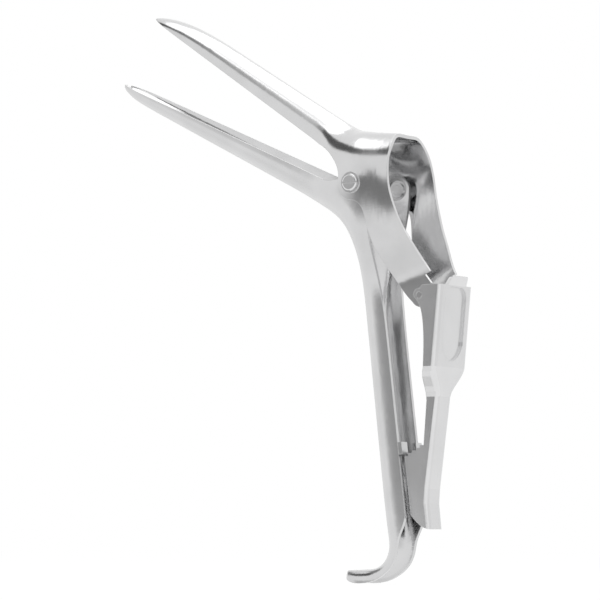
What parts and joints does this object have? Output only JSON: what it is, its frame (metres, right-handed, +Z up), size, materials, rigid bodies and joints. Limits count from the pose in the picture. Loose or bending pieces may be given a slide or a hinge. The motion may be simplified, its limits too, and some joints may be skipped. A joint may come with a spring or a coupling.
{
  "type": "bivalve speculum",
  "caption": "Two-valved examining speculum of pressed steel: hinged trough blades, channel handle with finger hook, and a thumb lever with stepped ledges.",
  "frame": {"origin": "middle of the hinge axis, between the two hinge screws, in the viewing channel", "axes": "+X from the blade tips towards the hand, +Y towards the far side, along the hinge axis, +Z up, away from the handle"},
  "size_m": [0.1263, 0.034, 0.1837],
  "materials": {
    "pressed_sheet": "polished",
    "fasteners": "polished"
  },
  "bodies": {
    "handle_side": {"lower_valve": "pressed_sheet", "hinge_bush_near": "fasteners", "hinge_bush_far": "fasteners", "hinge_screw_near": "fasteners", "hinge_screw_far": "fasteners"},
    "opening_side": {"upper_valve": "pressed_sheet"},
    "lever_pivot": {"lever_pin_near": "fasteners", "lever_pin_far": "fasteners"},
    "lever": {"thumb_lever": "pressed_sheet"}
  },
  "joints": [
    {"name": "upper_valve_hinge", "type": "hinge", "parent": "handle_side", "child": "opening_side", "pos_m": [0, 0, 0], "axis": [0, 1, 0], "range_deg": [-13, 6.8]},
    {"name": "lever_ride", "type": "hinge", "parent": "opening_side", "child": "lever_pivot", "pos_m": [0.02085, 0, -0.0353], "axis": [0, 1, 0], "range_deg": [-6.9, 13.1]},
    {"name": "lever_release", "type": "hinge", "parent": "lever_pivot", "child": "lever", "pos_m": [0.02085, 0, -0.0353], "axis": [0, -1, 0], "range_deg": [0, 15]}
  ],
  "couplings": [
    {"joint": "lever_ride", "follows": "upper_valve_hinge", "ratio": -1}
  ]
}
